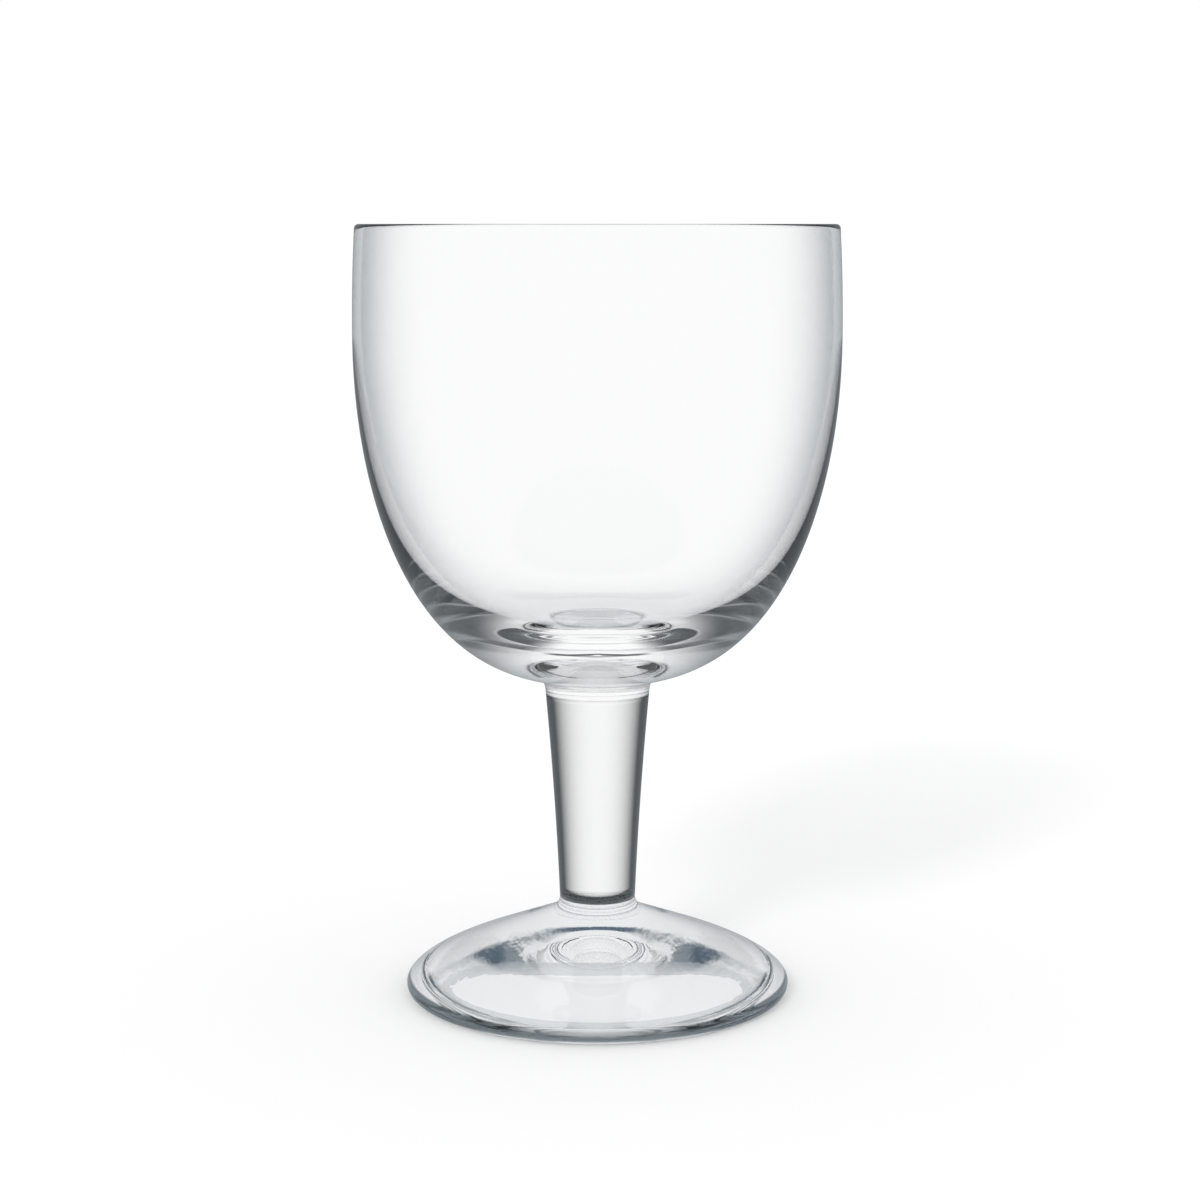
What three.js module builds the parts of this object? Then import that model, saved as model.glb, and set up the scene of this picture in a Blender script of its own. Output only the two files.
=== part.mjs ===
// A stemmed measure glass in clear soda-lime glass, in millimetres, +Z up.
// Three pieces of glass are fused hot, one above the other: a domed foot, a solid stem and a bowl.
// The origin is on the table, under the middle of the foot.

import * as THREE from "three";

// Heights of the three pieces, from seam to seam
const FOOT_HEIGHT = 19.4; // table to the seam under the stem
const STEM_LENGTH = 42.1; // between the two seams
const BOWL_HEIGHT = 93.5; // seam on the stem to the top of the rim

// Bowl, outside
const BELLY_RADIUS = 48.35; // widest ring
const BELLY_HEIGHT = 71.7; // widest ring above the seam
const RIM_DRAW_IN = 0.65; // how far the rim is drawn in from the widest ring
const UNDERSIDE_HEIGHT = 2.3; // pole of the bowl's underside above the seam
const OUTER_SIDE_POWER = 2.05; // roundness of the outside towards the belly
const OUTER_BASE_POWER = 2.71; // roundness of the outside towards the stem
const NECK_REACH = 1.8; // fillet from the stem out onto the underside

// Bowl, inside
const WALL_BELLY = 1.68; // wall at the widest ring
const WALL_RIM = 1.75; // fire-polished lip, a full round
const BASE_THICKNESS = 9.5; // heavy base, from the underside's pole to the inner bottom
const INNER_SIDE_POWER = 1.75; // roundness of the inside towards the belly
const INNER_BASE_POWER = 3.2; // roundness of the inside towards the bottom

// Stem
const STEM_TOP_RADIUS = 10.45; // shared with the bowl's neck
const STEM_FOOT_RADIUS = 7.65; // shared with the foot's collar
const FLANK_HOLLOW = 0.26; // how far the flank lies inside a straight taper

// Foot
const FOOT_RADIUS = 38.97; // widest ring
const EDGE_HEIGHT = 2.1; // widest ring above the table
const EDGE_ROUND = 2.0; // inwards reach of the round under the widest ring
const CROWN_HEIGHT = 5.3; // where the straight dome would meet the widest ring's cylinder
const SHOULDER_INSET = 15; // where the dome starts to curve down, in from the widest ring
const COLLAR_DROP = 1.96; // seam down to where the straight dome would meet the stem
const COLLAR_REACH = 3; // fillet from the stem out onto the dome
const REST_RING_WIDTH = 4; // flat ring that stands on the table
const HOLLOW_RISE = 7.6; // height of the hollow underside at its middle

// Fineness of the surfaces
const ROUND_SEGMENTS = 60;
const WALL_STEPS = 14; // along the bowl's side, outside and inside
const FILLET_STEPS = 4;
const FLANK_STEPS = 4;
const EDGE_STEPS = 6;

// A rounded wall that runs from its widest ring down to its pole on the axis.
class RoundedWall extends THREE.Curve {
  constructor(radius, ringHeight, poleHeight, sidePower, basePower) {
    super();
    Object.assign(this, { radius, ringHeight, poleHeight, sidePower, basePower });
  }

  // t runs from 0 at the widest ring to 1 at the pole.
  getPoint(t, target = new THREE.Vector2()) {
    const angle = (t * Math.PI) / 2;
    const across = Math.pow(Math.max(Math.cos(angle), 0), 2 / this.basePower);
    const down = Math.pow(Math.sin(angle), 2 / this.sidePower);
    const depth = this.ringHeight - this.poleHeight;
    const onAxis = t === 1;
    return target.set(onAxis ? 0 : this.radius * across, this.ringHeight - depth * down);
  }

  // The share of the curve at which it has come in to a radius.
  shareAt(radius) {
    return (Math.acos(Math.pow(radius / this.radius, this.basePower / 2)) * 2) / Math.PI;
  }

  slopeAt(t) {
    const step = 1e-4;
    const before = this.getPoint(t - step);
    const after = this.getPoint(t + step);
    return (after.y - before.y) / (after.x - before.x);
  }
}

// Points along a curve that leaves start towards a corner and arrives at end from it.
function bend(start, corner, end, steps) {
  const curve = new THREE.QuadraticBezierCurve(start, corner, end);
  return curve.getPoints(steps);
}

function point(radius, height) {
  return new THREE.Vector2(radius, height);
}

function bowlProfile() {
  const lip = WALL_RIM / 2;
  const lipHeight = BOWL_HEIGHT - lip;
  const rimRadius = BELLY_RADIUS - RIM_DRAW_IN;
  const outside = new RoundedWall(
    BELLY_RADIUS,
    BELLY_HEIGHT,
    UNDERSIDE_HEIGHT,
    OUTER_SIDE_POWER,
    OUTER_BASE_POWER,
  );
  const inside = new RoundedWall(
    BELLY_RADIUS - WALL_BELLY,
    BELLY_HEIGHT,
    UNDERSIDE_HEIGHT + BASE_THICKNESS,
    INNER_SIDE_POWER,
    INNER_BASE_POWER,
  );

  // Fillet that leaves the stem upright and runs out along the underside
  const filletShare = outside.shareAt(STEM_TOP_RADIUS + NECK_REACH);
  const filletEnd = outside.getPoint(filletShare);
  const cornerHeight = filletEnd.y - outside.slopeAt(filletShare) * NECK_REACH;
  const fillet = bend(
    point(STEM_TOP_RADIUS, 0),
    point(STEM_TOP_RADIUS, cornerHeight),
    filletEnd,
    FILLET_STEPS,
  );

  const outerSide = [];
  const innerSide = [];
  for (let i = 1; i < WALL_STEPS; i++) {
    outerSide.push(outside.getPoint(filletShare * (1 - i / WALL_STEPS)));
    innerSide.push(inside.getPoint(i / WALL_STEPS));
  }
  const upright = (ringRadius, endRadius) =>
    bend(
      point(ringRadius, BELLY_HEIGHT),
      point(ringRadius, (BELLY_HEIGHT + lipHeight) / 2),
      point(endRadius, lipHeight),
      FLANK_STEPS,
    );
  const outerTop = upright(BELLY_RADIUS, rimRadius);
  const innerTop = upright(BELLY_RADIUS - WALL_BELLY, rimRadius - WALL_RIM);
  const rim = new THREE.EllipseCurve(rimRadius - lip, lipHeight, lip, lip, 0, Math.PI);
  return [
    point(0, 0),
    ...fillet,
    ...outerSide,
    ...outerTop,
    ...rim.getPoints(EDGE_STEPS).slice(1, -1),
    ...innerTop.reverse(),
    ...innerSide,
    inside.getPoint(1),
  ];
}

function stemProfile() {
  const middle = (STEM_FOOT_RADIUS + STEM_TOP_RADIUS) / 2;
  const flank = bend(
    point(STEM_FOOT_RADIUS, 0),
    point(middle - 2 * FLANK_HOLLOW, STEM_LENGTH / 2),
    point(STEM_TOP_RADIUS, STEM_LENGTH),
    FLANK_STEPS,
  );
  return [point(0, 0), ...flank, point(0, STEM_LENGTH)];
}

function footProfile() {
  const restOuter = FOOT_RADIUS - EDGE_ROUND;
  const restInner = restOuter - REST_RING_WIDTH;
  const domeTop = FOOT_HEIGHT - COLLAR_DROP;
  const domeFall = (domeTop - CROWN_HEIGHT) / (FOOT_RADIUS - STEM_FOOT_RADIUS);
  const onDome = (radius) => point(radius, domeTop - domeFall * (radius - STEM_FOOT_RADIUS));

  const hollowRadius = (restInner * restInner + HOLLOW_RISE * HOLLOW_RISE) / (2 * HOLLOW_RISE);
  const hollowSweep = Math.asin(restInner / hollowRadius);
  const hollow = new THREE.EllipseCurve(
    0,
    HOLLOW_RISE - hollowRadius,
    hollowRadius,
    hollowRadius,
    Math.PI / 2,
    Math.PI / 2 - hollowSweep,
    true,
  );
  const underEdge = new THREE.EllipseCurve(
    restOuter,
    EDGE_HEIGHT,
    EDGE_ROUND,
    EDGE_HEIGHT,
    -Math.PI / 2,
    0,
  );
  const shoulder = bend(
    point(FOOT_RADIUS, EDGE_HEIGHT),
    point(FOOT_RADIUS, CROWN_HEIGHT),
    onDome(FOOT_RADIUS - SHOULDER_INSET),
    EDGE_STEPS,
  );
  const collar = bend(
    onDome(STEM_FOOT_RADIUS + COLLAR_REACH),
    onDome(STEM_FOOT_RADIUS),
    point(STEM_FOOT_RADIUS, FOOT_HEIGHT),
    FILLET_STEPS,
  );
  return [
    point(0, HOLLOW_RISE),
    ...hollow.getPoints(EDGE_STEPS).slice(1),
    ...underEdge.getPoints(FILLET_STEPS),
    ...shoulder.slice(1),
    ...collar,
    point(0, FOOT_HEIGHT),
  ];
}

// Turns a profile of radius and height about the +Z axis.
function turned(name, profile, color) {
  const geometry = new THREE.LatheGeometry(profile, ROUND_SEGMENTS);
  geometry.rotateX(Math.PI / 2);
  const material = new THREE.MeshStandardMaterial({
    color,
    roughness: 0.03,
    metalness: 0,
    transparent: true,
    opacity: 0.35,
  });
  const mesh = new THREE.Mesh(geometry, material);
  mesh.name = name;
  return mesh;
}

const foot = turned("foot", footProfile(), 0xe6ecec);
const stem = turned("stem", stemProfile(), 0xe3e9ea);
const bowl = turned("bowl", bowlProfile(), 0xeef3f3);
stem.position.z = FOOT_HEIGHT;
bowl.position.z = FOOT_HEIGHT + STEM_LENGTH;

const glass = new THREE.Group();
glass.name = "stemmed_measure_glass";
glass.add(foot, stem, bowl);

export default glass;
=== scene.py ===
"""Looks of the stemmed measure glass: bowl, stem and foot in clear glass on a pale studio floor."""
import math
from collections import namedtuple

import bmesh
import bpy
from bpy.props import FloatProperty, FloatVectorProperty, IntProperty, PointerProperty
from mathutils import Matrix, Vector


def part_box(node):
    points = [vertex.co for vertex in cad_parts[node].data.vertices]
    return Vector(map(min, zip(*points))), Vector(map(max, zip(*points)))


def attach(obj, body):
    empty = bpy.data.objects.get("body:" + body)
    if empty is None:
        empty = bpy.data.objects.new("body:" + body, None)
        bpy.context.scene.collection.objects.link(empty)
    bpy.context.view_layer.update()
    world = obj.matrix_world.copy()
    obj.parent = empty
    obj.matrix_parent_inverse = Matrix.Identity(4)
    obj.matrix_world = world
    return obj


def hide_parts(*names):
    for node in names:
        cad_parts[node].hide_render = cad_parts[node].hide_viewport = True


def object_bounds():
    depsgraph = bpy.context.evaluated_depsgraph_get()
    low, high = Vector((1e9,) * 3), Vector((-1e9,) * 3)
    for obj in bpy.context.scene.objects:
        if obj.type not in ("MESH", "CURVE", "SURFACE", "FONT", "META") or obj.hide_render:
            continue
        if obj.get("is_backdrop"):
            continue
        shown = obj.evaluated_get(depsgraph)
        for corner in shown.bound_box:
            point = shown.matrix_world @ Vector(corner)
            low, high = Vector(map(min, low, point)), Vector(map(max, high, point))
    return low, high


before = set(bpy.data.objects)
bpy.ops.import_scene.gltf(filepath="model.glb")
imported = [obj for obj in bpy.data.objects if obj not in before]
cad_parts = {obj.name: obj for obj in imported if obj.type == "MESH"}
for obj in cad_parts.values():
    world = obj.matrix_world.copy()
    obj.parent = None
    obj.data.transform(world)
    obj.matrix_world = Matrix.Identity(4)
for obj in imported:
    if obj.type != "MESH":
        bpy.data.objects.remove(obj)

bl_info = {
    "name": "Stemmed measure glass",
    "version": (1, 0, 0),
    "blender": (4, 5, 0),
    "location": "3D View > Sidebar > Glass",
    "description": "Makes the bowl, stem and foot of a clear stemmed glass, and its studio",
    "category": "Mesh",
}

CAD_LOW, CAD_HIGH = (Vector(corner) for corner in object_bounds())
BOWL_LOW, BOWL_HIGH = (Vector(corner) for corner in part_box("bowl"))
STEM_LOW, STEM_HIGH = (Vector(corner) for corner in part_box("stem"))
FOOT_HIGH = Vector(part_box("foot")[1])
BODY = "root"
MM = 0.001


def hex_color(text, alpha=1.0):
    """Linear RGBA of an sRGB hex value."""
    shares = [int(text[i : i + 2], 16) / 255 for i in (1, 3, 5)]
    linear = [s / 12.92 if s <= 0.04045 else ((s + 0.055) / 1.055) ** 2.4 for s in shares]
    return (*linear, alpha)


def add_node(tree, kind, inputs=None, **settings):
    """Adds a node. Inputs maps a socket to its constant, or to the output that feeds it."""
    node = tree.nodes.new(kind)
    for name, value in settings.items():
        setattr(node, name, value)
    for socket, value in (inputs or {}).items():
        if isinstance(value, bpy.types.NodeSocket):
            tree.links.new(value, node.inputs[socket])
        else:
            node.inputs[socket].default_value = value
    return node


# Sockets of the Mix node, for colours and for plain numbers
COLOR_A, COLOR_B, COLOR_OUT = 6, 7, 2
NUMBER_A, NUMBER_B = 2, 3

WHITE = (1.0, 1.0, 1.0, 1.0)


# Kinds of settings


def number(name, description, default):
    return FloatProperty(name=name, description=description, default=default)


def length(name, description, default):
    return FloatProperty(name=name, description=description, default=default, unit="LENGTH")


def angle(name, description, degrees):
    turn = math.radians(degrees)
    return FloatProperty(name=name, description=description, default=turn, subtype="ANGLE")


def color(name, description, text):
    value = hex_color(text)
    return FloatVectorProperty(
        name=name, description=description, default=value, subtype="COLOR", size=4
    )


# Shapes

# Points along each stretch of a half section
NECK_STEPS = 8
OUTER_STEPS = 44
TOP_STEPS = 8
LIP_STEPS = 12
INNER_STEPS = 56
FLANK_STEPS = 24
HOLLOW_STEPS = 28
UNDER_EDGE_STEPS = 8
SHOULDER_STEPS = 20
DOME_STEPS = 4
COLLAR_STEPS = 10
# Rings on the flat that stands on the table, as shares of its width
REST_SHARES = (0.1, 0.5, 0.9)
# The share of a wall over which its slope is taken
SLOPE_STEP = 0.001
# A vertex this close to a seam's height belongs to the seam.
SEAM_REACH = 0.001 * MM


class BowlSettings(bpy.types.PropertyGroup):
    belly_radius: length("Belly radius", "Widest ring, outside", BOWL_HIGH.x)
    belly_height: length("Belly height", "Widest ring above the seam on the stem", 71.7 * MM)
    rim_draw_in: length("Rim draw-in", "How far the rim is drawn in from the belly", 0.65 * MM)
    underside: length("Underside", "Pole of the underside above the seam", 2.3 * MM)
    neck_reach: length("Neck reach", "Fillet from the stem out onto the underside", 1.8 * MM)
    wall_belly: length("Wall at the belly", "Thickness at the widest ring", 1.68 * MM)
    wall_rim: length("Wall at the rim", "Fire-polished lip, a full round", 1.75 * MM)
    base_thickness: length("Base thickness", "Underside's pole to the inner bottom", 9.5 * MM)
    outer_side: number("Outer side power", "Roundness of the outside towards the belly", 2.05)
    outer_base: number("Outer base power", "Roundness of the outside towards the stem", 2.71)
    inner_side: number("Inner side power", "Roundness of the inside towards the belly", 1.75)
    inner_base: number("Inner base power", "Roundness of the inside towards the bottom", 3.2)


class StemSettings(bpy.types.PropertyGroup):
    top_radius: length("Top radius", "At the seam under the bowl", STEM_HIGH.x)
    foot_radius: length("Foot radius", "At the seam on the foot", 7.65 * MM)
    flank_hollow: length("Flank hollow", "How far the flank lies inside a taper", 0.26 * MM)


class FootSettings(bpy.types.PropertyGroup):
    radius: length("Radius", "Widest ring", FOOT_HIGH.x)
    edge_height: length("Edge height", "Widest ring above the table", 2.1 * MM)
    edge_round: length("Edge round", "Inwards reach of the round under the widest ring", 2.0 * MM)
    crown_height: length("Crown height", "Where the dome would meet the widest ring", 5.3 * MM)
    shoulder_inset: length("Shoulder inset", "Where the dome starts to curve down", 15.0 * MM)
    collar_drop: length("Collar drop", "Seam to where the dome would meet the stem", 1.96 * MM)
    collar_reach: length("Collar reach", "Fillet from the stem out onto the dome", 3.0 * MM)
    ring_width: length("Resting ring", "Width of the flat that stands on the table", 4.0 * MM)
    hollow_rise: length("Hollow rise", "Height of the hollow underside at its middle", 7.6 * MM)


class MeshSettings(bpy.types.PropertyGroup):
    spin_steps: IntProperty(
        name="Spin steps", description="Control rings round the axis", default=96
    )
    levels: IntProperty(
        name="Subdivision", description="Levels of the subdivision surface", default=1
    )
    pole_ring: length("Pole ring", "First ring round a pole on the axis", 0.6 * MM)


def bend(start, corner, end, steps):
    """Points of a curve that leaves start towards a corner and reaches end from it."""
    points = []
    for i in range(steps + 1):
        t = i / steps
        pulls = list(zip(((1 - t) ** 2, 2 * t * (1 - t), t * t), (start, corner, end)))
        points.append(tuple(sum(w * p[k] for w, p in pulls) for k in (0, 1)))
    return points


def round_edge(middle, across, up, first, last, steps):
    """Points on part of an ellipse, between two angles in degrees."""
    points = []
    for i in range(steps + 1):
        turn = math.radians(first + (last - first) * i / steps)
        points.append((middle[0] + across * math.cos(turn), middle[1] + up * math.sin(turn)))
    return points


Wall = namedtuple("Wall", "radius ring pole side_power base_power")


def wall_point(share, wall):
    """A point of a rounded wall, from its widest ring at share 0 to its pole at share 1."""
    turn = share * math.pi / 2
    across = max(math.cos(turn), 0.0) ** (2 / wall.base_power)
    down = math.sin(turn) ** (2 / wall.side_power)
    return (wall.radius * across, wall.ring - (wall.ring - wall.pole) * down)


def share_at(radius, wall):
    """The share of a rounded wall at which it has come in to a radius."""
    return math.acos((radius / wall.radius) ** (wall.base_power / 2)) * 2 / math.pi


def bowl_profile(bowl, stem, pole_ring):
    """Half section of the bowl, from the seam up the outside, over the rim and down the inside."""
    seam, top = BOWL_LOW.z, BOWL_HIGH.z
    lip = bowl.wall_rim / 2
    ring, lip_height = seam + bowl.belly_height, top - lip
    rim_radius = bowl.belly_radius - bowl.rim_draw_in
    pole = seam + bowl.underside
    outside = Wall(bowl.belly_radius, ring, pole, bowl.outer_side, bowl.outer_base)
    inside = Wall(
        radius=bowl.belly_radius - bowl.wall_belly,
        ring=ring,
        pole=pole + bowl.base_thickness,
        side_power=bowl.inner_side,
        base_power=bowl.inner_base,
    )

    # Fillet that leaves the stem upright and runs out along the underside
    fillet_share = share_at(stem.top_radius + bowl.neck_reach, outside)
    fillet_end = wall_point(fillet_share, outside)
    nearby = wall_point(fillet_share - SLOPE_STEP, outside)
    slope = (fillet_end[1] - nearby[1]) / (fillet_end[0] - nearby[0])
    corner = (stem.top_radius, fillet_end[1] - slope * bowl.neck_reach)
    fillet = bend((stem.top_radius, seam), corner, fillet_end, NECK_STEPS)

    outer_shares = [fillet_share * (1 - i / OUTER_STEPS) for i in range(1, OUTER_STEPS)]
    middle_height = (ring + lip_height) / 2
    outer_top = bend(
        (outside.radius, ring), (outside.radius, middle_height), (rim_radius, lip_height), TOP_STEPS
    )
    rim = round_edge((rim_radius - lip, lip_height), lip, lip, 0, 180, LIP_STEPS)
    inner_rim = (rim_radius - bowl.wall_rim, lip_height)
    inner_top = bend(
        inner_rim, (inside.radius, middle_height), (inside.radius, ring), TOP_STEPS
    )
    last_share = share_at(pole_ring, inside)
    inner_shares = [last_share * i / INNER_STEPS for i in range(1, INNER_STEPS + 1)]
    return (
        [(0.0, seam), (pole_ring, seam)]
        + fillet
        + [wall_point(share, outside) for share in outer_shares]
        + outer_top
        + rim[1:-1]
        + inner_top
        + [wall_point(share, inside) for share in inner_shares]
        + [(0.0, inside.pole)]
    )


def stem_profile(stem, pole_ring):
    """Half section of the stem, from the seam on the foot to the seam under the bowl."""
    low, high = STEM_LOW.z, STEM_HIGH.z
    middle = ((stem.top_radius + stem.foot_radius) / 2 - 2 * stem.flank_hollow, (low + high) / 2)
    flank = bend((stem.foot_radius, low), middle, (stem.top_radius, high), FLANK_STEPS)
    return [(0.0, low), (pole_ring, low)] + flank + [(pole_ring, high), (0.0, high)]


def foot_profile(foot, stem, pole_ring):
    """Half section of the foot, from the hollow's middle round the edge and up to the seam."""
    seam = FOOT_HIGH.z
    rest_outer = foot.radius - foot.edge_round
    rest_inner = rest_outer - foot.ring_width
    dome_top = seam - foot.collar_drop
    fall = (dome_top - foot.crown_height) / (foot.radius - stem.foot_radius)

    def on_dome(radius):
        return (radius, dome_top - fall * (radius - stem.foot_radius))

    hollow_radius = (rest_inner**2 + foot.hollow_rise**2) / (2 * foot.hollow_rise)
    sweep = math.degrees(math.asin(rest_inner / hollow_radius))
    first = math.degrees(math.asin(pole_ring / hollow_radius))
    middle = (0.0, foot.hollow_rise - hollow_radius)
    hollow = round_edge(
        middle, hollow_radius, hollow_radius, 90 - first, 90 - sweep, HOLLOW_STEPS
    )
    rest = [(rest_inner + foot.ring_width * share, 0.0) for share in REST_SHARES]
    edge_middle = (rest_outer, foot.edge_height)
    under_edge = round_edge(
        edge_middle, foot.edge_round, foot.edge_height, -90, 0, UNDER_EDGE_STEPS
    )
    shoulder_end = on_dome(foot.radius - foot.shoulder_inset)
    edge, crown = (foot.radius, foot.edge_height), (foot.radius, foot.crown_height)
    shoulder = bend(edge, crown, shoulder_end, SHOULDER_STEPS)
    collar_start = on_dome(stem.foot_radius + foot.collar_reach)
    dome = [
        tuple(a + (b - a) * i / DOME_STEPS for a, b in zip(shoulder_end, collar_start))
        for i in range(1, DOME_STEPS)
    ]
    collar = bend(
        collar_start, on_dome(stem.foot_radius), (stem.foot_radius, seam), COLLAR_STEPS
    )
    return (
        [(0.0, foot.hollow_rise)]
        + hollow
        + rest
        + under_edge
        + shoulder[1:]
        + dome
        + collar
        + [(pole_ring, seam), (0.0, seam)]
    )


def turned(name, profile, seams, mesh_settings):
    """A closed solid: the half section is spun once round the axis, then subdivided smoothly.

    Faces that lie in a seam get the second material, and their rims stay sharp.
    """
    bm = bmesh.new()
    section = [bm.verts.new((radius, 0.0, height)) for radius, height in profile]
    edges = [bm.edges.new(pair) for pair in zip(section, section[1:])]
    bmesh.ops.spin(
        bm,
        geom=section + edges,
        cent=(0.0, 0.0, 0.0),
        axis=(0.0, 0.0, 1.0),
        angle=2 * math.pi,
        steps=mesh_settings.spin_steps,
        use_merge=True,
    )
    bmesh.ops.remove_doubles(bm, verts=bm.verts, dist=SEAM_REACH)
    bmesh.ops.recalc_face_normals(bm, faces=bm.faces)
    for face in bm.faces:
        face.smooth = True
    crease = bm.edges.layers.float.new("crease_edge")
    for height in seams:
        flat = [f for f in bm.faces if all(abs(v.co.z - height) < SEAM_REACH for v in f.verts)]
        for face in flat:
            face.material_index = 1
        for edge in {e for f in flat for e in f.edges}:
            if any(f.material_index == 0 for f in edge.link_faces):
                edge[crease] = 1.0
    mesh = bpy.data.meshes.new(name)
    bm.to_mesh(mesh)
    bm.free()
    piece = bpy.data.objects.new(name, mesh)
    bpy.context.collection.objects.link(piece)
    smooth = piece.modifiers.new("smooth", "SUBSURF")
    smooth.levels = smooth.render_levels = mesh_settings.levels
    return piece


# Glass

# A band of painted shade: a share of each axis and two distances along them. From the first
# distance to the second, painted shade turns the skin as dark as at an edge.
Zone = namedtuple("Zone", "axes start end")
# The way a piece was made, and its painted shade. Painted shade along its edges, for the dark
# room seen there, grows between two shares of the turn away from the eye. The ripples have a
# size, a depth and a share of their rate along each axis.
Making = namedtuple("Making", "name edge_from edge_to ripple ripple_depth stretch zone")

BLOWN = Making(
    name="soda_lime_glass_blown",
    edge_from=0.32,
    edge_to=1.0,
    ripple=30 * MM,
    ripple_depth=0.004 * MM,
    stretch=(1, 1, 0.6),
    zone=None,
)
# The stem has painted shade down at its joint with the foot.
DRAWN = Making(
    name="soda_lime_glass_drawn",
    edge_from=-0.06,
    edge_to=0.53,
    ripple=4 * MM,
    ripple_depth=0.002 * MM,
    stretch=(1, 1, 0.08),
    zone=Zone(axes=(0, 0, 1), start=STEM_LOW.z + 2.8 * MM, end=STEM_LOW.z),
)
# The foot has painted shade at its rim.
PRESSED = Making(
    name="soda_lime_glass_pressed",
    edge_from=0.65,
    edge_to=1.15,
    ripple=3 * MM,
    ripple_depth=0.008 * MM,
    stretch=(2.5, 1, 1),
    zone=Zone(axes=(1, 1, 0), start=38.0 * MM, end=38.9 * MM),
)


class GlassSettings(bpy.types.PropertyGroup):
    clear: color("Clear", "Tint of the glass seen square on", "#FEFEFE")
    # The thin, thick and foot's edge colours are painted shade for the dark room seen along the
    # edges, with a little of the glass's own colour
    thin_edge_shade: color("Thin edge", "Tint of the wall seen along its surface", "#8A9499")
    thick_edge_shade: color("Thick edge", "Tint of the solid stem seen along its surface", "#101314")
    foot: color("Foot", "Tint of the thick foot", "#EFF1F2")
    foot_edge_shade: color("Foot's edge", "Tint of the foot's rim and along its surface", "#3A4449")
    shade: color("Shade", "Tint of the light that falls through onto the table", "#C8CCCC")
    ior: number("IOR", "Index of refraction of soda-lime glass", 1.52)


def clear_glass(making, look, clear, edge):
    """Soda-lime glass with a fire-polished skin.

    It is clear seen square on and turns a cool grey along its edges. A little of that is the
    glass's own colour where light runs far through it, and most is painted shade for the dark room
    seen there. Painted shade also darkens a band of some pieces. Faint ripples from its making bend
    what is seen through it.
    """
    material = bpy.data.materials.new(making.name)
    material.use_nodes = True
    tree = material.node_tree
    tree.nodes.clear()
    place = add_node(tree, "ShaderNodeTexCoord")
    weight = add_node(tree, "ShaderNodeLayerWeight", {"Blend": 0.5})
    facing = weight.outputs["Facing"]
    # Painted shade in a band of the piece: it adds to the turn away from the eye, on the outer skin
    # only
    if making.zone:
        shares = {0: place.outputs["Object"], 1: making.zone.axes}
        along = add_node(tree, "ShaderNodeVectorMath", shares, operation="MULTIPLY")
        distance = add_node(tree, "ShaderNodeVectorMath", {0: along.outputs[0]}, operation="LENGTH")
        in_shade_zone = add_node(
            tree,
            "ShaderNodeMapRange",
            {
                "Value": distance.outputs["Value"],
                "From Min": making.zone.start,
                "From Max": making.zone.end,
            },
            interpolation_type="SMOOTHSTEP",
        )
        side = add_node(tree, "ShaderNodeNewGeometry")
        not_back = {0: 1.0, 1: side.outputs["Backfacing"]}
        outside = add_node(tree, "ShaderNodeMath", not_back, operation="SUBTRACT")
        grown = {0: in_shade_zone.outputs["Result"], 1: outside.outputs[0], 2: facing}
        facing = add_node(tree, "ShaderNodeMath", grown, operation="MULTIPLY_ADD").outputs[0]
    # Painted shade along the edges: the clear colour turns to the edge colour as the skin turns
    # away from the eye
    share = add_node(
        tree,
        "ShaderNodeMapRange",
        {"Value": facing, "From Min": making.edge_from, "From Max": making.edge_to},
        interpolation_type="SMOOTHSTEP",
    )
    tint_and_edge_shade = add_node(
        tree,
        "ShaderNodeMix",
        {"Factor": share.outputs["Result"], COLOR_A: clear[:], COLOR_B: edge[:]},
        data_type="RGBA",
    )
    stretched = {"Vector": place.outputs["Object"], "Scale": making.stretch}
    mapping = add_node(tree, "ShaderNodeMapping", stretched)
    ripple = add_node(
        tree,
        "ShaderNodeTexNoise",
        {"Vector": mapping.outputs["Vector"], "Scale": 1 / making.ripple, "Detail": 1.0},
    )
    bump = add_node(
        tree,
        "ShaderNodeBump",
        {"Height": ripple.outputs["Fac"], "Strength": 1.0, "Distance": making.ripple_depth},
    )
    glass = add_node(
        tree,
        "ShaderNodeBsdfPrincipled",
        {
            "Base Color": tint_and_edge_shade.outputs[COLOR_OUT],
            "Roughness": 0.0,
            "IOR": look.ior,
            "Transmission Weight": 1.0,
            "Normal": bump.outputs["Normal"],
        },
    )
    path = add_node(tree, "ShaderNodeLightPath")
    shade = add_node(tree, "ShaderNodeBsdfTransparent", {"Color": look.shade[:]})
    mix = add_node(
        tree,
        "ShaderNodeMixShader",
        {0: path.outputs["Is Shadow Ray"], 1: glass.outputs[0], 2: shade.outputs[0]},
    )
    add_node(tree, "ShaderNodeOutputMaterial", {"Surface": mix.outputs[0]})
    return material


def fused_seam():
    """Glass fused hot to glass: nothing is left of the seam, so light goes straight through it."""
    name = "soda_lime_glass_fused_seam"
    material = bpy.data.materials.get(name)
    if material is None:
        material = bpy.data.materials.new(name)
        material.use_nodes = True
        tree = material.node_tree
        tree.nodes.clear()
        through = add_node(tree, "ShaderNodeBsdfTransparent")
        add_node(tree, "ShaderNodeOutputMaterial", {"Surface": through.outputs[0]})
    return material


def put_in_place(piece, node, skin):
    """Gives a piece its two materials, and lets it stand for its CAD node on the one body."""
    piece.data.materials.append(skin)
    piece.data.materials.append(fused_seam())
    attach(piece, BODY)
    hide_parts(node)


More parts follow.
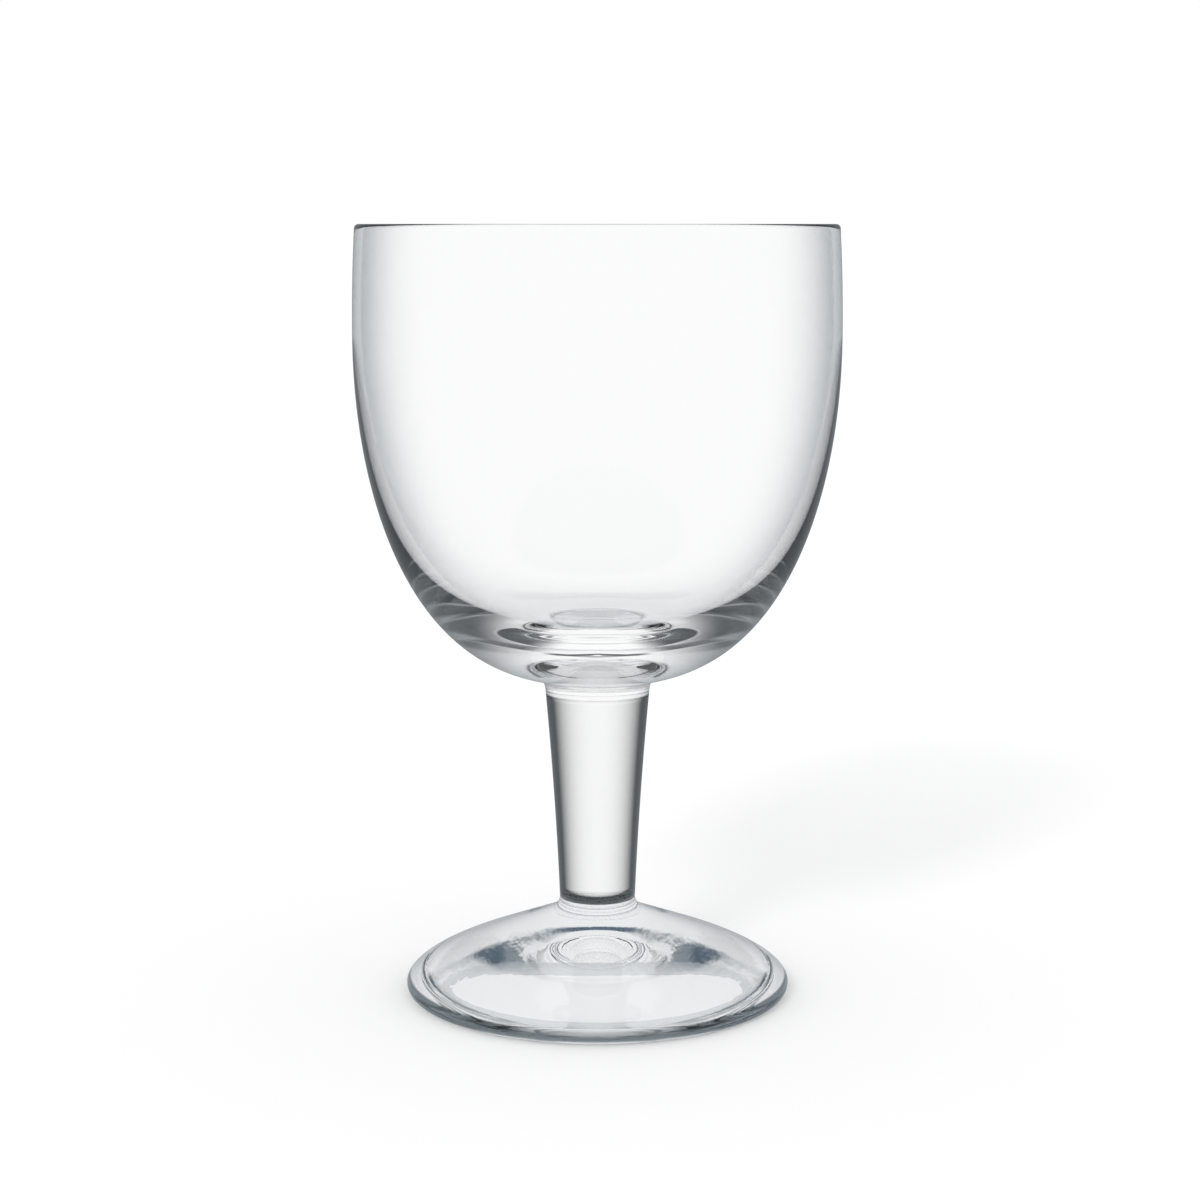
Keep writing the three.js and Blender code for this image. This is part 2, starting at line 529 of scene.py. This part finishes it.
class GLASS_OT_bowl(bpy.types.Operator):
    """Makes the bowl: a thin blown wall, a fire-polished lip and a heavy base"""

    bl_idname = "stemglass.bowl"
    bl_label = "Bowl"

    def execute(self, context):
        scene = context.scene
        shape, look = scene.glass_mesh, scene.glass_look
        profile = bowl_profile(scene.glass_bowl, scene.glass_stem, shape.pole_ring)
        bowl = turned("clear_bowl", profile, [BOWL_LOW.z], shape)
        skin = clear_glass(BLOWN, look, look.clear, look.thin_edge_shade)
        put_in_place(bowl, "bowl", skin)
        return {"FINISHED"}


class GLASS_OT_stem(bpy.types.Operator):
    """Makes the stem: solid, tapered, a little hollow along its flank"""

    bl_idname = "stemglass.stem"
    bl_label = "Stem"

    def execute(self, context):
        scene = context.scene
        shape, look = scene.glass_mesh, scene.glass_look
        profile = stem_profile(scene.glass_stem, shape.pole_ring)
        stem = turned("clear_stem", profile, [STEM_LOW.z, STEM_HIGH.z], shape)
        skin = clear_glass(DRAWN, look, look.clear, look.thick_edge_shade)
        put_in_place(stem, "stem", skin)
        return {"FINISHED"}


class GLASS_OT_foot(bpy.types.Operator):
    """Makes the foot: a dome on a flat resting ring, hollow underneath"""

    bl_idname = "stemglass.foot"
    bl_label = "Foot"

    def execute(self, context):
        scene = context.scene
        shape, look = scene.glass_mesh, scene.glass_look
        profile = foot_profile(scene.glass_foot, scene.glass_stem, shape.pole_ring)
        foot = turned("clear_foot", profile, [FOOT_HIGH.z], shape)
        skin = clear_glass(PRESSED, look, look.foot, look.foot_edge_shade)
        put_in_place(foot, "foot", skin)
        return {"FINISHED"}


# Studio

# Dark places of the room that only light caught inside the glass sees. Each has two rows of pairs
# of degrees and darkness, from 0 to 1: round the glass, from straight behind it to straight before
# it, and upwards from level.
LOW_SIDE_FLAGS = (
    ((12, 0), (60, 1), (150, 1), (165, 0)),
    ((0, 0.7), (5, 1), (13, 1), (18, 0.6), (25, 0.6), (28, 1), (36, 1), (42, 0)),
)
HIGH_SIDE_FLAGS = (
    ((15, 0), (31, 1), (150, 1), (165, 0)),
    ((13, 0), (18, 1), (52, 1), (60, 0)),
)
BACK_FLAG = (
    ((14, 1), (22, 0)),
    ((8, 0), (10.5, 1), (15.5, 1), (18, 0)),
)
BACK_BAR = (
    ((7, 1), (11, 0.3), (16, 0)),
    ((16, 0), (18.5, 1), (28, 1), (32, 0)),
)
# The feet of the side flags on the table, out from the glass
FLAGS_NEAR = 200 * MM
FLAGS_FAR = 320 * MM

# Painted shadow on the table's glow, where the front of the foot's ring meets the table
CONTACT_RADIUS = 36.3 * MM
CONTACT_HALF_WIDTH = 1.2 * MM
CONTACT_FADE = 1.0 * MM
CONTACT_FRONT = -12 * MM

# What the glass mirrors gets darker from before it to behind it: the table over this distance to
# both sides of the axis, and the room over this part of a direction of length 1.
MIRROR_FADE = 250 * MM
MIRROR_TURN = 0.5

# Counts of what a ray has done. A half lies between one count and the next.
HALF = 0.5
# In the thick base light is mirrored three times or more, and crosses the surface three at most.
MANY_MIRRORS = 3 - HALF
SOLID_CROSSINGS = 3 + HALF
# It stays in the bowl, and doesn't pass through the seam into the stem.
SEAM_CROSSINGS = HALF
# Under the foot's dome it is mirrored twice.
DOME_MIRRORS = 2.0

# Light crosses the thick glass, and is mirrored inside it, many times.
BOUNCES = 24
GLOSSY_BOUNCES = 16

# Half the width of the table, in metres
FLOOR_REACH = 40.0
# The photograph's frame is square, and Blender's usual sensor is 36 mm wide.
SENSOR_WIDTH = 36.0
CLIP_START = 10 * MM


class StudioSettings(bpy.types.PropertyGroup):
    floor: color("Floor", "Colour of the table", "#F1F1F1")
    floor_lift: number("Floor lift", "White that the eye sees added to the table", 0.045)
    camera_distance: length("Camera distance", "From the axis, level with the rim", 511.5 * MM)
    camera_aside: length("Camera aside", "Sideways from the glass's axis", 0.52 * MM)
    camera_tilt: angle("Camera tilt", "Down from level", 8.31)
    camera_lens: FloatProperty(
        name="Lens",
        description="Focal length in millimetres",
        default=77.25,
        subtype="DISTANCE_CAMERA",
    )
    key_strength: number("Key light", "Strength of the key light", 0.82)
    key_azimuth: angle("Key azimuth", "Left of the camera", 25.5)
    key_elevation: angle("Key elevation", "Above the table", 32)
    key_angle: angle("Key size", "How wide the key light is", 12)
    flag_color: color("Flags", "Colour of the dark flags round the glass", "#1A2329")
    bar_color: color("Bar", "Colour of the dark bar behind the glass", "#4E6272")
    mirrored: color("Mirrored room", "Colour of the room that the glass mirrors", "#CBD2D8")
    mirror_back: number("Mirrored back", "Share of that brightness behind the glass", 0.45)
    table_level: number("Table through glass", "Brightness of the table seen through it", 1.0)
    # The glow under the foot's ring is darkened to this as painted shadow
    ring_shadow_level: number("Contact", "Brightness of the table under the foot's ring", 0.06)


def darkness(tree, turn, pairs):
    """How dark the room is at an angle, from pairs of degrees and darkness."""
    share = add_node(tree, "ShaderNodeMath", {0: turn, 1: math.pi}, operation="DIVIDE")
    ramp = add_node(tree, "ShaderNodeValToRGB", {0: share.outputs[0]})
    ramp.color_ramp.interpolation = "EASE"
    stops = ramp.color_ramp.elements
    while len(stops) < len(pairs):
        stops.new(1.0)
    for stop, (degrees, dark) in zip(stops, pairs):
        stop.position = degrees / 180
        stop.color = (dark, dark, dark, 1.0)
    return ramp.outputs["Color"]


def dark_place(tree, aside, height, place):
    """How dark a place of the room is, from its two rows of pairs."""
    around, upwards = place
    both = {0: darkness(tree, aside, around), 1: darkness(tree, height, upwards)}
    return add_node(tree, "ShaderNodeMath", both, operation="MULTIPLY").outputs[0]


def angle_aside(tree, axes):
    """Angle round the glass, from straight behind it, the same to both sides."""
    across = {0: axes.outputs["X"], 1: axes.outputs["Y"]}
    turn = add_node(tree, "ShaderNodeMath", across, operation="ARCTAN2")
    return add_node(tree, "ShaderNodeMath", {0: turn.outputs[0]}, operation="ABSOLUTE").outputs[0]


def inner_mirrors(tree, path):
    """How often light was mirrored inside the glass: each of its turns that is not a crossing."""
    turns = {0: path.outputs["Ray Depth"], 1: path.outputs["Transmission Depth"]}
    return add_node(tree, "ShaderNodeMath", turns, operation="SUBTRACT").outputs[0]


def mirrored_often(tree, path):
    """Whether light was mirrored many times inside the glass, as 0 or 1."""
    counts = {0: inner_mirrors(tree, path), 1: MANY_MIRRORS}
    return add_node(tree, "ShaderNodeMath", counts, operation="GREATER_THAN").outputs[0]


def caught_in_base(tree, path):
    """Whether light was mirrored many times inside the bowl's thick base alone, as 0 or 1."""
    caught = mirrored_often(tree, path)
    limits = {"Transmission Depth": SOLID_CROSSINGS, "Transparent Depth": SEAM_CROSSINGS}
    for depth, limit in limits.items():
        counts = {0: path.outputs[depth], 1: limit}
        within = add_node(tree, "ShaderNodeMath", counts, operation="LESS_THAN")
        both = {0: caught, 1: within.outputs[0]}
        caught = add_node(tree, "ShaderNodeMath", both, operation="MULTIPLY").outputs[0]
    return caught


def studio_world(settings):
    """A white room to the eye. Light caught in the glass also sees dark flags and a dark bar.

    The dark places are what gives clear glass its shapes on a white ground.
    """
    world = bpy.data.worlds.new("white_studio")
    bpy.context.scene.world = world
    world.use_nodes = True
    tree = world.node_tree
    tree.nodes.clear()
    place = add_node(tree, "ShaderNodeTexCoord")
    path = add_node(tree, "ShaderNodeLightPath")
    axes = add_node(tree, "ShaderNodeSeparateXYZ", {0: place.outputs["Generated"]})
    aside = angle_aside(tree, axes)
    upwards = add_node(tree, "ShaderNodeMath", {0: axes.outputs["Z"]}, operation="ARCSINE")
    height = upwards.outputs[0]

    flags = 0.0
    for flag in (LOW_SIDE_FLAGS, HIGH_SIDE_FLAGS, BACK_FLAG):
        darker = {0: flags, 1: dark_place(tree, aside, height, flag)}
        flags = add_node(tree, "ShaderNodeMath", darker, operation="MAXIMUM").outputs[0]
    in_base = {0: flags, 1: caught_in_base(tree, path)}
    dark_base = add_node(tree, "ShaderNodeMath", in_base, operation="MULTIPLY")
    twice = {0: inner_mirrors(tree, path), 1: DOME_MIRRORS, 2: HALF}
    dome = add_node(tree, "ShaderNodeMath", twice, operation="COMPARE")
    in_dome = {0: dark_place(tree, aside, height, BACK_BAR), 1: dome.outputs[0]}
    dark_dome = add_node(tree, "ShaderNodeMath", in_dome, operation="MULTIPLY")
    sides = add_node(
        tree,
        "ShaderNodeMix",
        {"Factor": dark_base.outputs[0], COLOR_A: WHITE, COLOR_B: settings.flag_color[:]},
        data_type="RGBA",
    )
    room = add_node(
        tree,
        "ShaderNodeMix",
        {
            "Factor": dark_dome.outputs[0],
            COLOR_A: sides.outputs[COLOR_OUT],
            COLOR_B: settings.bar_color[:],
        },
        data_type="RGBA",
    )

    behind = add_node(
        tree,
        "ShaderNodeMapRange",
        {
            "Value": axes.outputs["Y"],
            "From Min": -MIRROR_TURN,
            "From Max": MIRROR_TURN,
            "To Min": 1.0,
            "To Max": settings.mirror_back,
        },
    )
    mirrored = add_node(
        tree,
        "ShaderNodeVectorMath",
        {0: settings.mirrored[:3], "Scale": behind.outputs["Result"]},
        operation="SCALE",
    )
    seen = add_node(
        tree,
        "ShaderNodeMix",
        {
            "Factor": path.outputs["Is Transmission Ray"],
            COLOR_A: mirrored.outputs[0],
            COLOR_B: room.outputs[COLOR_OUT],
        },
        data_type="RGBA",
    )
    # Light that reaches the table through the glass comes from the whole white room.
    before_table = {0: path.outputs["Diffuse Depth"], 1: HALF}
    not_table = add_node(tree, "ShaderNodeMath", before_table, operation="LESS_THAN")
    to_eye = {0: path.outputs["Is Glossy Ray"], 1: not_table.outputs[0]}
    glass_ray = add_node(tree, "ShaderNodeMath", to_eye, operation="MULTIPLY")
    tone = add_node(
        tree,
        "ShaderNodeMix",
        {"Factor": glass_ray.outputs[0], COLOR_A: WHITE, COLOR_B: seen.outputs[COLOR_OUT]},
        data_type="RGBA",
    )
    sky = add_node(
        tree, "ShaderNodeBackground", {"Color": tone.outputs[COLOR_OUT], "Strength": 1.0}
    )
    add_node(tree, "ShaderNodeOutputWorld", {"Surface": sky.outputs[0]})


def floor_card(settings):
    """Matt white card. To light from the glass it glows, darker behind the glass to what the glass
    mirrors, with a painted shadow under the foot's ring and the dark places on it.
    """
    material = bpy.data.materials.new("matt_white_card")
    material.use_nodes = True
    tree = material.node_tree
    tree.nodes.clear()
    place = add_node(tree, "ShaderNodeTexCoord")
    path = add_node(tree, "ShaderNodeLightPath")
    through = path.outputs["Is Transmission Ray"]
    axes = add_node(tree, "ShaderNodeSeparateXYZ", {0: place.outputs["Object"]})
    out = add_node(tree, "ShaderNodeVectorMath", {0: place.outputs["Object"]}, operation="LENGTH")

    # The foot's ring stands on the table, and no light gets in there: the glow is darkened there as
    # painted shadow.
    from_ring = {0: out.outputs["Value"], 1: CONTACT_RADIUS}
    past = add_node(tree, "ShaderNodeMath", from_ring, operation="SUBTRACT")
    away = add_node(tree, "ShaderNodeMath", {0: past.outputs[0]}, operation="ABSOLUTE")
    ring_shadow = add_node(
        tree,
        "ShaderNodeMapRange",
        {
            "Value": away.outputs[0],
            "From Min": CONTACT_HALF_WIDTH,
            "From Max": CONTACT_HALF_WIDTH + CONTACT_FADE,
            "To Min": settings.ring_shadow_level,
            "To Max": settings.table_level,
        },
        interpolation_type="SMOOTHSTEP",
    )
    front = add_node(
        tree,
        "ShaderNodeMapRange",
        {"Value": axes.outputs["Y"], "From Min": CONTACT_FRONT, "From Max": 2 * CONTACT_FRONT},
        interpolation_type="SMOOTHSTEP",
    )
    at_front = {0: mirrored_often(tree, path), 1: front.outputs["Result"]}
    under_front = add_node(tree, "ShaderNodeMath", at_front, operation="MULTIPLY")
    table_with_ring_shadow = add_node(
        tree,
        "ShaderNodeMix",
        {
            "Factor": under_front.outputs[0],
            NUMBER_A: settings.table_level,
            NUMBER_B: ring_shadow.outputs["Result"],
        },
        data_type="FLOAT",
    )
    behind = add_node(
        tree,
        "ShaderNodeMapRange",
        {
            "Value": axes.outputs["Y"],
            "From Min": -MIRROR_FADE,
            "From Max": MIRROR_FADE,
            "To Min": 1.0,
            "To Max": settings.mirror_back,
        },
    )
    level = add_node(
        tree,
        "ShaderNodeMix",
        {"Factor": through, NUMBER_A: behind.outputs["Result"], NUMBER_B: table_with_ring_shadow.outputs[0]},
        data_type="FLOAT",
    )

    around, upwards = LOW_SIDE_FLAGS
    dark_at_table = upwards[0][1]
    far = add_node(
        tree,
        "ShaderNodeMapRange",
        {
            "Value": out.outputs["Value"],
            "From Min": FLAGS_NEAR,
            "From Max": FLAGS_FAR,
            "To Max": dark_at_table,
        },
        interpolation_type="SMOOTHSTEP",
    )
    in_base = {0: far.outputs["Result"], 1: caught_in_base(tree, path)}
    far_flags = add_node(tree, "ShaderNodeMath", in_base, operation="MULTIPLY")
    at_sides = {0: far_flags.outputs[0], 1: darkness(tree, angle_aside(tree, axes), around)}
    flags = add_node(tree, "ShaderNodeMath", at_sides, operation="MULTIPLY")
    table = add_node(
        tree,
        "ShaderNodeMix",
        {"Factor": flags.outputs[0], COLOR_A: WHITE, COLOR_B: settings.flag_color[:]},
        data_type="RGBA",
    )
    tone = add_node(
        tree,
        "ShaderNodeMix",
        {"Factor": through, COLOR_A: settings.mirrored[:], COLOR_B: table.outputs[COLOR_OUT]},
        data_type="RGBA",
    )
    glow = add_node(
        tree,
        "ShaderNodeEmission",
        {"Color": tone.outputs[COLOR_OUT], "Strength": level.outputs[0]},
    )

    # A little lift to the eye alone makes the table white and leaves the glass's shadow on it.
    to_eye = {0: path.outputs["Is Camera Ray"], 1: settings.floor_lift}
    lift = add_node(tree, "ShaderNodeMath", to_eye, operation="MULTIPLY")
    haze = add_node(tree, "ShaderNodeEmission", {"Strength": lift.outputs[0]})
    matt = add_node(tree, "ShaderNodeBsdfDiffuse", {"Color": settings.floor[:]})
    white_card = add_node(tree, "ShaderNodeAddShader", {0: matt.outputs[0], 1: haze.outputs[0]})
    card = add_node(
        tree,
        "ShaderNodeMixShader",
        {0: path.outputs["Is Glossy Ray"], 1: white_card.outputs[0], 2: glow.outputs[0]},
    )
    add_node(tree, "ShaderNodeOutputMaterial", {"Surface": card.outputs[0]})
    return material


def studio_floor(settings):
    """A wide pale table, matt, so that it keeps the glass's soft shadow."""
    bm = bmesh.new()
    bmesh.ops.create_grid(bm, x_segments=1, y_segments=1, size=FLOOR_REACH)
    mesh = bpy.data.meshes.new("floor")
    bm.to_mesh(mesh)
    bm.free()
    floor = bpy.data.objects.new("floor", mesh)
    bpy.context.collection.objects.link(floor)
    mesh.materials.append(floor_card(settings))
    floor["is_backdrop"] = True


class GLASS_OT_studio(bpy.types.Operator):
    """Makes the studio: pale floor, white room, key light and camera"""

    bl_idname = "stemglass.studio"
    bl_label = "Studio"

    def execute(self, context):
        scene = context.scene
        settings = scene.glass_studio
        studio_floor(settings)
        studio_world(settings)

        key = bpy.data.lights.new("key", "SUN")
        key.energy = settings.key_strength
        key.angle = settings.key_angle
        lamp = bpy.data.objects.new("key", key)
        lamp.visible_glossy = lamp.visible_transmission = False
        lamp.rotation_euler = (math.pi / 2 - settings.key_elevation, 0.0, -settings.key_azimuth)
        scene.collection.objects.link(lamp)

        lens = bpy.data.cameras.new("camera")
        lens.sensor_width = SENSOR_WIDTH
        lens.lens = settings.camera_lens
        lens.clip_start = CLIP_START
        camera = bpy.data.objects.new("camera", lens)
        camera.location = (settings.camera_aside, -settings.camera_distance, CAD_HIGH.z)
        camera.rotation_euler = (math.pi / 2 - settings.camera_tilt, 0.0, 0.0)
        scene.collection.objects.link(camera)
        scene.camera = camera

        scene.view_settings.view_transform = "Standard"
        scene.cycles.max_bounces = BOUNCES
        scene.cycles.transmission_bounces = BOUNCES
        scene.cycles.glossy_bounces = GLOSSY_BOUNCES
        scene.cycles.transparent_max_bounces = BOUNCES
        return {"FINISHED"}


class GLASS_PT_panel(bpy.types.Panel):
    """Lists the pieces of the glass and its studio"""

    bl_label = "Stemmed measure glass"
    bl_idname = "GLASS_PT_panel"
    bl_space_type = "VIEW_3D"
    bl_region_type = "UI"
    bl_category = "Glass"

    def draw(self, context):
        for operator in OPERATORS:
            self.layout.operator(operator.bl_idname)
        for name in SETTINGS:
            group = getattr(context.scene, name)
            box = self.layout.box()
            for prop in group.__annotations__:
                box.prop(group, prop)


SETTINGS = {
    "glass_bowl": BowlSettings,
    "glass_stem": StemSettings,
    "glass_foot": FootSettings,
    "glass_mesh": MeshSettings,
    "glass_look": GlassSettings,
    "glass_studio": StudioSettings,
}
OPERATORS = (GLASS_OT_bowl, GLASS_OT_stem, GLASS_OT_foot, GLASS_OT_studio)
CLASSES = (*SETTINGS.values(), *OPERATORS, GLASS_PT_panel)


def register():
    for cls in CLASSES:
        bpy.utils.register_class(cls)
    for name, cls in SETTINGS.items():
        setattr(bpy.types.Scene, name, PointerProperty(type=cls))


def unregister():
    for name in SETTINGS:
        delattr(bpy.types.Scene, name)
    for cls in reversed(CLASSES):
        bpy.utils.unregister_class(cls)


def main():
    register()
    bpy.ops.stemglass.bowl()
    bpy.ops.stemglass.stem()
    bpy.ops.stemglass.foot()
    bpy.ops.stemglass.studio()


if __name__ == "__main__":
    main()
